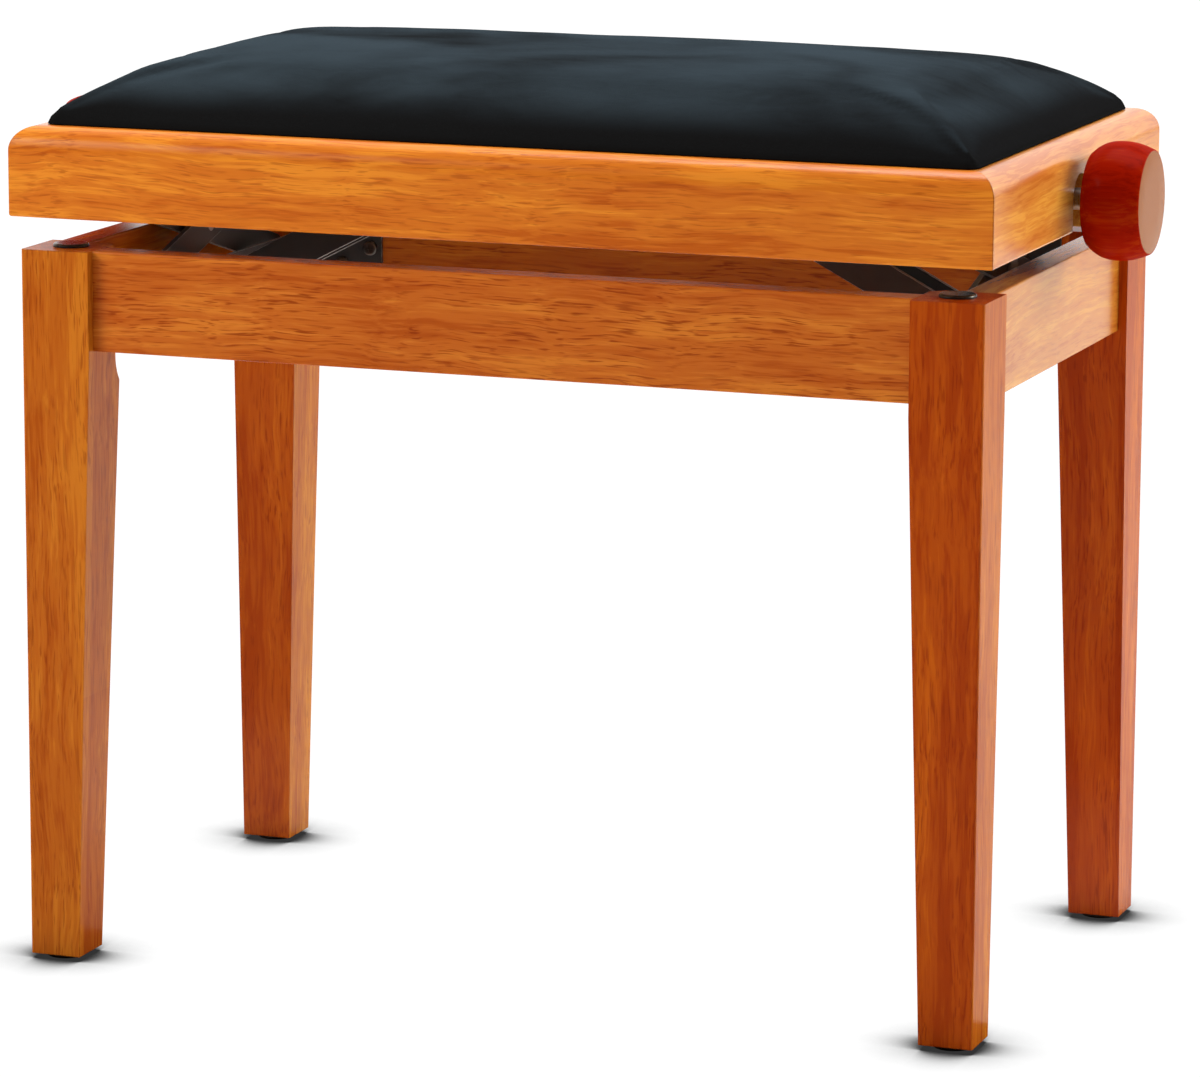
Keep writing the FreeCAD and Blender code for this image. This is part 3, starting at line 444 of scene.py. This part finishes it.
# Unseen woodwork.
# Beech dowels in the rail joints, sanded glue blocks inside the seat frame, and the plywood panel
# that the cushion is built on, all left without stain.
BARE_WOOD = {
    "Light": (0.62, 0.43, 0.26, 1.0),
    "Middle": (0.55, 0.36, 0.20, 1.0),
    "Dark": (0.44, 0.27, 0.14, 1.0),
    "Pore": (0.28, 0.16, 0.08, 1.0),
}
bare_wood = lacquered_wood(
    "bare_beech", GRAIN_ALONG_Y, (0.3, 0.3, 0.3), BARE_WOOD, pore=0.5, eased=0.0004, coat=0.0
)
for name in ("apron_dowels", "seat_glue_blocks"):
    finish_node(name, bare_wood)
plywood = lacquered_wood(
    "cushion_plywood", GRAIN_ALONG_X, (0.8, 0.3, 0.9), BARE_WOOD, pore=0.6, eased=0.0003, coat=0.0
)
finish_node("cushion_board", plywood)

# Knobs.
# Turned from close-grained wood, dyed deep red brown and polished, one on each end of the spindle.
# The barrel swells in the middle, the outer face is flat and its rim is crisp.
KNOB_STAIN = (0.29, 0.0080, 0.0006)
KNOB_STREAK = (0.36, 0.0260, 0.0010, 1.0)
# The paler, pinker colour of the flat end faces is a painted sheen for the glare on them.
KNOB_FACE_SHEEN = (0.27, 0.100, 0.034, 1.0)
KNOB_TURNS = 96
KNOB_STEPS = 30
knob_tones = {**stained(*KNOB_STAIN), "Light": KNOB_STREAK}
knob_wood = lacquered_wood("knob_wood", GRAIN_ALONG_X, (0.1, 0.45, 0.2), knob_tones, pore=0.25, eased=0.0004)
knob_tree = knob_wood.node_tree
knob_shader = knob_tree.nodes["Principled BSDF"]
# Painted sheen on the end faces: faces that look along X get the paler colour.
knob_end = band(knob_tree, math_node(knob_tree, "ABSOLUTE", facing(knob_tree, "X")), 0.90, 0.99)
barrel_colour = knob_shader.inputs["Base Color"].links[0].from_socket
knob_tree.links.new(mixed(knob_tree, knob_end, barrel_colour, KNOB_FACE_SHEEN), knob_shader.inputs["Base Color"])
knob_coat = node(knob_tree, "ShaderNodeMapRange", {"Value": knob_end}, To_Min=0.05, To_Max=0.55)
knob_tree.links.new(knob_coat.outputs[0], knob_shader.inputs["Coat Weight"])


def lathe(name, outline, axis_point, material, turns):
    """A closed turned solid round the X axis through a point; outline is a list of (x, radius)."""
    verts = []
    rings = []
    for x, radius in outline:
        if radius < 1e-6:
            rings.append([len(verts)])
            verts.append((x, axis_point[1], axis_point[2]))
            continue
        rings.append(list(range(len(verts), len(verts) + turns)))
        for step in range(turns):
            angle = 2 * math.pi * step / turns
            y, z = axis_point[1] + radius * math.cos(angle), axis_point[2] + radius * math.sin(angle)
            verts.append((x, y, z))
    faces = []
    for one, two in zip(rings, rings[1:]):
        for step in range(turns):
            after = (step + 1) % turns
            around = ((one, step), (one, after), (two, after), (two, step))
            faces.append(tuple(dict.fromkeys(ring[k % len(ring)] for ring, k in around)))
    made = mesh_object(name, verts, faces, material)
    cleaned = bmesh.new()
    cleaned.from_mesh(made.data)
    bmesh.ops.recalc_face_normals(cleaned, faces=cleaned.faces)
    cleaned.to_mesh(made.data)
    cleaned.free()
    return made


def knob_outline(inner_x, outer_x, widest):
    """The barrel from its back to its flat face, as (x, radius) pairs, closed on the axis."""
    length = outer_x - inner_x
    rim = widest * 0.885
    back = widest * 0.80
    points = [(inner_x, 0.0), (inner_x, back * 0.5), (inner_x, back - 0.0012)]
    for step in range(KNOB_STEPS + 1):
        t = step / KNOB_STEPS
        swell = 1.0 - abs(2.0 * (t - 0.5)) ** 2.3
        low = back + (rim - back) * t
        points.append((inner_x + length * (0.012 + 0.968 * t), low + (widest - low) * swell))
    points.append((outer_x - math.copysign(0.0002, length), rim - 0.0003))
    points.append((outer_x, rim - 0.0012))
    points.append((outer_x, rim * 0.5))
    points.append((outer_x, 0.0))
    return points


spindle_low, spindle_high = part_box("spindle")
spindle_axis = (spindle_low + spindle_high) / 2
for side, sign in (("left", -1), ("right", 1)):
    low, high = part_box("knob_" + side)
    inner = low.x if sign > 0 else high.x
    outer = high.x if sign > 0 else low.x
    outline = knob_outline(inner, outer, (high.z - low.z) / 2)
    knob = lathe("turned_knob_" + side, outline, spindle_axis, knob_wood, KNOB_TURNS)
    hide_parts("knob_" + side)
    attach(knob, "spindle_set")

# Cushion.
# Foam on a plywood panel under black cotton velvet, pulled tight over the edges and stapled below.
# It is crowned, thin at the edge, and the corners show short pulled folds.
CUSHION_EDGE = 0.004
CUSHION_SOFTNESS = 0.028
CUSHION_CORNER = 0.007
CUSHION_GRID = (118, 68)
COVER_CAP = 0.0022
COVER_HELD = 0.002
COVER_FRAMES = 20
VELVET_BASE = (0.0066, 0.0072, 0.0082, 1.0)
# The blue-grey painted on the flat top is a painted sheen for the light the pile catches there.
VELVET_TOP_SHEEN = (0.0290, 0.0440, 0.0590, 1.0)
VELVET_SPECK = (0.014, 0.016, 0.018, 1.0)

cushion_low, cushion_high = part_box("seat_cushion")
cushion_half = (cushion_high - cushion_low) / 2
cushion_rise = cushion_high.z - cushion_low.z - CUSHION_EDGE


def rounded_rectangle_push(x, y, half_x, half_y, corner):
    """A point of the square grid moved in so that the outline gets round corners."""
    over_x = abs(x) - (half_x - corner)
    over_y = abs(y) - (half_y - corner)
    if over_x <= 0 or over_y <= 0:
        return x, y
    length = math.hypot(over_x, over_y)
    reach = max(over_x, over_y)
    return (
        math.copysign(half_x - corner + over_x * reach / length, x),
        math.copysign(half_y - corner + over_y * reach / length, y),
    )


def crown_height(x, y):
    """How far the top stands above the cushion's seam at this place."""
    near_x = max(cushion_half.x - abs(x), 1e-5)
    near_y = max(cushion_half.y - abs(y), 1e-5)
    inward = (near_x ** -2.5 + near_y ** -2.5) ** -0.4
    return CUSHION_EDGE + cushion_rise * (1.0 - math.exp(-inward / CUSHION_SOFTNESS))


def pulled_folds(x, y):
    """Short shallow folds that run in from each corner, and a faint unevenness of the foam."""
    corner = Vector((cushion_half.x - abs(x), cushion_half.y - abs(y)))
    distance = corner.length
    angle = math.atan2(corner.y, corner.x)
    fade = math.exp(-((distance - 0.028) / 0.022) ** 2)
    fold = math.sin(angle * 9.0 + 0.8 * math.copysign(1, x)) * fade
    lumps = noise.noise(Vector((x * 9.0, y * 9.0, 4.0)))
    lumps += 0.4 * noise.noise(Vector((x * 27.0, y * 27.0, 1.0)))
    inner = min(1.0, min(corner) / 0.03)
    return 0.00055 * fold + 0.0007 * lumps * inner


def spread(t):
    """Places the grid's lines, from -1 to 1, closer together towards both ends."""
    return math.copysign(1.0 - (1.0 - abs(t)) ** 1.45, t)


def cushion_mesh():
    """A closed pad: a crowned top grid, a short edge, and a flat bottom."""
    across, along = CUSHION_GRID
    verts, faces = [], []
    for layer in range(2):
        for j in range(along + 1):
            for i in range(across + 1):
                x = spread(2.0 * i / across - 1.0) * cushion_half.x
                y = spread(2.0 * j / along - 1.0) * cushion_half.y
                rise = crown_height(x, y) + pulled_folds(x, y) if layer else 0.0
                px, py = rounded_rectangle_push(x, y, cushion_half.x, cushion_half.y, CUSHION_CORNER)
                verts.append((px, py, cushion_low.z + rise))
    row = across + 1
    count = row * (along + 1)
    for j in range(along):
        for i in range(across):
            a = j * row + i
            faces.append((a, a + row, a + row + 1, a + 1))
            faces.append((count + a, count + a + 1, count + a + row + 1, count + a + row))
    rim = [i for i in range(across)] + [j * row + across for j in range(along)]
    rim += [along * row + i for i in range(across, 0, -1)] + [j * row for j in range(along, 0, -1)]
    for a, b in zip(rim, rim[1:] + rim[:1]):
        faces.append((a, b, count + b, count + a))
    return verts, faces


def velvet_material():
    """Black pile with a painted blue-grey sheen on the flat top, broken into soft patches."""
    made, tree, shader = new_material("black_velvet")
    place = node(tree, "ShaderNodeTexCoord").outputs["Object"]
    brushed = stretched_noise(tree, place, (7.0, 9.0, 6.0), 2.0, 0.45, 0.8)
    strokes = stretched_noise(tree, place, (46.0, 120.0, 60.0), 4.0, 0.6, 0.8)
    pile = stretched_noise(tree, place, (2600.0, 2600.0, 2600.0), 1.0)
    nap = added(tree, math_node(tree, "MULTIPLY", brushed, 0.86), strokes, 0.14)
    # Painted sheen: pile that faces up is coloured blue-grey in patches, for the light caught on the top.
    flat = band(tree, facing(tree, "Z"), 0.72, 0.985)
    top_sheen = math_node(tree, "MULTIPLY", flat, band(tree, nap, 0.22, 0.66))
    colour = mixed(tree, top_sheen, VELVET_BASE, VELVET_TOP_SHEEN)
    tips = math_node(tree, "MULTIPLY", band(tree, pile, 0.55, 0.8), 0.5)
    colour = mixed(tree, tips, colour, VELVET_SPECK)
    lean = node(tree, "ShaderNodeBump", {"Height": strokes}, Strength=0.25, Distance=0.0012)
    rises = {"Height": pile, "Normal": lean.outputs[0]}
    fuzz = node(tree, "ShaderNodeBump", rises, Strength=0.5, Distance=0.0003)
    dressed(tree, shader, colour, added(tree, 0.82, strokes, 0.15), fuzz.outputs[0])
    shader.inputs["Specular IOR Level"].default_value = 0.0
    shader.inputs["Sheen Weight"].default_value = 0.03
    shader.inputs["Sheen Roughness"].default_value = 0.2
    shader.inputs["Sheen Tint"].default_value = (0.50, 0.66, 0.80, 1.0)
    return made


def settled_cover(pad, still_below, cap):
    """Cloth blown up a little from inside, its underside held, and no point moved past the cap."""
    before = [v.co.copy() for v in pad.data.vertices]
    held = pad.vertex_groups.new(name="stapled")
    for v in pad.data.vertices:
        weight = 1.0 if v.co.z < still_below else 0.0
        held.add([v.index], weight, "REPLACE")
    cloth = pad.modifiers.new("cover", "CLOTH")
    settings = cloth.settings
    settings.quality = 6
    settings.mass = 0.25
    settings.tension_stiffness = 18.0
    settings.compression_stiffness = 10.0
    settings.bending_stiffness = 0.6
    settings.use_pressure = True
    settings.uniform_pressure_force = 3.0
    settings.vertex_group_mass = held.name
    settings.effector_weights.gravity = 0.0
    cloth.point_cache.frame_start = 1
    cloth.point_cache.frame_end = COVER_FRAMES
    for at in range(1, COVER_FRAMES + 1):
        scene.frame_set(at)
    shown = pad.evaluated_get(bpy.context.evaluated_depsgraph_get())
    after = [v.co.copy() for v in shown.data.vertices]
    pad.modifiers.remove(cloth)
    scene.frame_set(1)
    for v, old, new in zip(pad.data.vertices, before, after):
        step = new - old
        if step.length > cap:
            step *= cap / step.length
        v.co = old + step
    pad.vertex_groups.clear()


cushion_verts, cushion_faces = cushion_mesh()
cushion = mesh_object("velvet_cushion", cushion_verts, cushion_faces, velvet_material())
settled_cover(cushion, cushion_low.z + COVER_HELD, COVER_CAP)
cushion_edge = cushion.modifiers.new("soft_edge", "BEVEL")
cushion_edge.width = 0.0012
cushion_edge.segments = 2
cushion_edge.angle_limit = math.radians(55)
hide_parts("seat_cushion")
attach(cushion, "seat")

# Bent steel and flat arms.
# Two-millimetre steel brackets at each end, flat scissor arms and the paired lift arms, all cut,
# pressed and dipped in black enamel that is thin on the cut edges, where bare steel glints.
BLACKED = ["base_bracket_left", "base_bracket_right", "seat_bracket_left", "seat_bracket_right"]
BLACKED += [f"scissor_arm_{arm}_{side}" for arm in "ab" for side in ("left", "right")]
BLACKED += ["lift_arm_left", "lift_arm_right", "nut_left", "nut_right"]


def rubbed_edge_group():
    """Where a surface turns sharply, broken up by noise: 1 on the rubbed edge and 0 on the flat."""
    takes = [("Width", "Float", 0.0006), ("Amount", "Float", 0.8)]
    tree, taken, given = group_with("rubbed_edge", takes, [("Mask", "Float")])
    turned = node(tree, "ShaderNodeBevel", {"Radius": taken.outputs["Width"]}, samples=4)
    straight = node(tree, "ShaderNodeNewGeometry")
    along = node(tree, "ShaderNodeVectorMath", operation="DOT_PRODUCT")
    tree.links.new(turned.outputs[0], along.inputs[0])
    tree.links.new(straight.outputs["Normal"], along.inputs[1])
    turn = math_node(tree, "SUBTRACT", 1.0, along.outputs["Value"])
    place = node(tree, "ShaderNodeTexCoord").outputs["Object"]
    patches = stretched_noise(tree, place, (160.0, 160.0, 160.0), 4.0, 0.7)
    broken = math_node(tree, "MULTIPLY", band(tree, turn, 0.02, 0.14), band(tree, patches, 0.34, 0.60))
    worn = math_node(tree, "MULTIPLY", broken, taken.outputs["Amount"], clamp=True)
    tree.links.new(worn, given.inputs["Mask"])
    return tree


edge_group = rubbed_edge_group()


def enamelled_steel(name, shift):
    """Black enamel, a little clouded, worn to bare metal along the edges."""
    made, tree, shader = new_material(name)
    place = node(tree, "ShaderNodeTexCoord").outputs["Object"]
    moved = node(tree, "ShaderNodeMapping", {"Vector": place})
    moved.inputs["Location"].default_value = (shift, shift * 2, shift * 3)
    orange_peel = stretched_noise(tree, moved.outputs[0], (420.0, 420.0, 420.0), 2.0)
    clouds = stretched_noise(tree, moved.outputs[0], (24.0, 24.0, 24.0), 4.0, 0.6)
    worn = node(tree, "ShaderNodeGroup", node_tree=edge_group)
    enamel = mixed(tree, clouds, (0.012, 0.012, 0.014, 1.0), (0.030, 0.030, 0.034, 1.0))
    colour = mixed(tree, worn.outputs["Mask"], enamel, (0.62, 0.62, 0.64, 1.0))
    relief = node(tree, "ShaderNodeBump", {"Height": orange_peel}, Strength=0.15, Distance=0.0003)
    tree.links.new(worn.outputs["Mask"], shader.inputs["Metallic"])
    dressed(tree, shader, colour, added(tree, 0.26, clouds, 0.18), relief.outputs[0])
    shader.inputs["Coat Weight"].default_value = 0.2
    return made


for number, name in enumerate(BLACKED):
    finish_node(name, enamelled_steel(name + "_enamel", 0.17 * number))

# Spindle, pins, rivets and screws.
# Turned mild steel, lightly oiled, with dark zinc on the screws and collars. The spindle carries a
# left-hand thread on one half and a right-hand thread on the other, and turns in nylon bushes.
TURNED = ["base_scissor_rivets", "seat_scissor_rivets", "lift_arm_pins"]
TURNED += ["scissor_studs_a_left", "scissor_studs_a_right", "scissor_stud_b_left", "scissor_stud_b_right"]
TURNED += ["lift_spacers_left", "lift_spacers_right"]
ZINCED = ["spindle_collars", "base_bracket_screws", "seat_bracket_screws"]
ZINCED += ["cushion_board_screws", "knob_grub_screws"]
NYLON = ["roller_a_left", "roller_a_right", "roller_b_left", "roller_b_right"]
THREAD_LEAD = 0.003
THREAD_ROUND = 20
THREAD_FROM, THREAD_TO = 0.044, 0.168
THREAD_CREST, THREAD_ROOT = 0.0069, 0.0060
SPINDLE_JOURNAL = 0.0060


def turned_steel(name, colour, rough_low, rough_high):
    """Bare steel with the fine rings a lathe leaves and dull oil stains."""
    made, tree, shader = new_material(name)
    place = node(tree, "ShaderNodeTexCoord").outputs["Object"]
    rings = stretched_noise(tree, place, (2400.0, 60.0, 60.0), 2.0)
    stains = stretched_noise(tree, place, (70.0, 70.0, 70.0), 4.0, 0.65)
    dull = tuple(c * 0.45 for c in colour[:3]) + (1.0,)
    tinted = mixed(tree, band(tree, stains, 0.45, 0.75), colour, dull)
    uneven = added(tree, math_node(tree, "MULTIPLY", rings, 0.5), stains, 0.5)
    rough = node(tree, "ShaderNodeMapRange", {"Value": uneven}, To_Min=rough_low, To_Max=rough_high)
    relief = node(tree, "ShaderNodeBump", {"Height": rings}, Strength=0.2, Distance=0.0001)
    dressed(tree, shader, tinted, rough.outputs[0], relief.outputs[0])
    shader.inputs["Metallic"].default_value = 1.0
    return made


def nylon_material():
    """White nylon with a film of old grease."""
    made, tree, shader = new_material("white_nylon")
    place = node(tree, "ShaderNodeTexCoord").outputs["Object"]
    grime = stretched_noise(tree, place, (190.0, 190.0, 190.0), 4.0, 0.6)
    colour = mixed(tree, band(tree, grime, 0.4, 0.8), (0.78, 0.78, 0.74, 1.0), (0.52, 0.50, 0.44, 1.0))
    tree.links.new(colour, shader.inputs["Base Color"])
    tree.links.new(added(tree, 0.32, grime, 0.25), shader.inputs["Roughness"])
    shader.inputs["Subsurface Weight"].default_value = 0.1
    shader.inputs["Subsurface Scale"].default_value = 0.002
    return made


steel = turned_steel("turned_steel", (0.50, 0.50, 0.51, 1.0), 0.18, 0.42)
zinc = turned_steel("dark_zinc", (0.17, 0.165, 0.16, 1.0), 0.28, 0.5)
for name in TURNED:
    finish_node(name, steel)
for name in ZINCED:
    finish_node(name, zinc)
nylon = nylon_material()
for name in NYLON:
    finish_node(name, nylon)


def threaded_spindle():
    """The whole shaft as one turned skin whose radius follows the two opposite threads."""
    turns_long = int((spindle_high.x - spindle_low.x) / THREAD_LEAD)
    steps = turns_long * 6
    verts, faces = [], []
    for step in range(steps + 1):
        x = spindle_low.x + (spindle_high.x - spindle_low.x) * step / steps
        for k in range(THREAD_ROUND):
            angle = 2 * math.pi * k / THREAD_ROUND
            radius = SPINDLE_JOURNAL
            if THREAD_FROM < abs(x) < THREAD_TO:
                hand = math.copysign(1.0, x)
                phase = (x / THREAD_LEAD - hand * angle / (2 * math.pi)) % 1.0
                radius = THREAD_ROOT + (THREAD_CREST - THREAD_ROOT) * min(1.0, 2.6 * min(phase, 1.0 - phase))
            y, z = spindle_axis.y + radius * math.cos(angle), spindle_axis.z + radius * math.sin(angle)
            verts.append((x, y, z))
    for step in range(steps):
        for k in range(THREAD_ROUND):
            a = step * THREAD_ROUND + k
            b = step * THREAD_ROUND + (k + 1) % THREAD_ROUND
            faces.append((a, a + THREAD_ROUND, b + THREAD_ROUND, b))
    faces.append(tuple(range(THREAD_ROUND)))
    faces.append(tuple(reversed(range(steps * THREAD_ROUND, (steps + 1) * THREAD_ROUND))))
    return verts, faces


spindle_skin = mesh_object("threaded_spindle", *threaded_spindle(), steel)
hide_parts("spindle")
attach(spindle_skin, "spindle_set")

# Bumpers and glides.
# Black domed discs are pressed into the leg tops for the seat to land on, and each foot stands on a
# hard dark plastic glide held by its own nail.


def moulded_plastic(name, colour, gloss, scuff):
    """Dark plastic, faintly gritty, with paler scuffs."""
    made, tree, shader = new_material(name)
    place = node(tree, "ShaderNodeTexCoord").outputs["Object"]
    grit = stretched_noise(tree, place, (900.0, 900.0, 900.0), 2.0)
    scuffs = stretched_noise(tree, place, (85.0, 300.0, 85.0), 5.0, 0.7)
    paler = tuple(min(1.0, c * 2.4 + 0.01) for c in colour[:3]) + (1.0,)
    tinted = mixed(tree, math_node(tree, "MULTIPLY", band(tree, scuffs, 0.5, 0.78), scuff), colour, paler)
    relief = node(tree, "ShaderNodeBump", {"Height": grit}, Strength=0.1, Distance=0.0002)
    dressed(tree, shader, tinted, added(tree, gloss, scuffs, 0.2), relief.outputs[0])
    return made


finish_node("spindle_bushes", moulded_plastic("black_nylon", (0.014, 0.014, 0.015, 1.0), 0.35, 0.4))
finish_node("stop_bumpers", moulded_plastic("glossy_bumper", (0.012, 0.012, 0.013, 1.0), 0.08, 0.3))
finish_node("floor_glides", moulded_plastic("foot_glide", (0.030, 0.024, 0.020, 1.0), 0.42, 0.7))
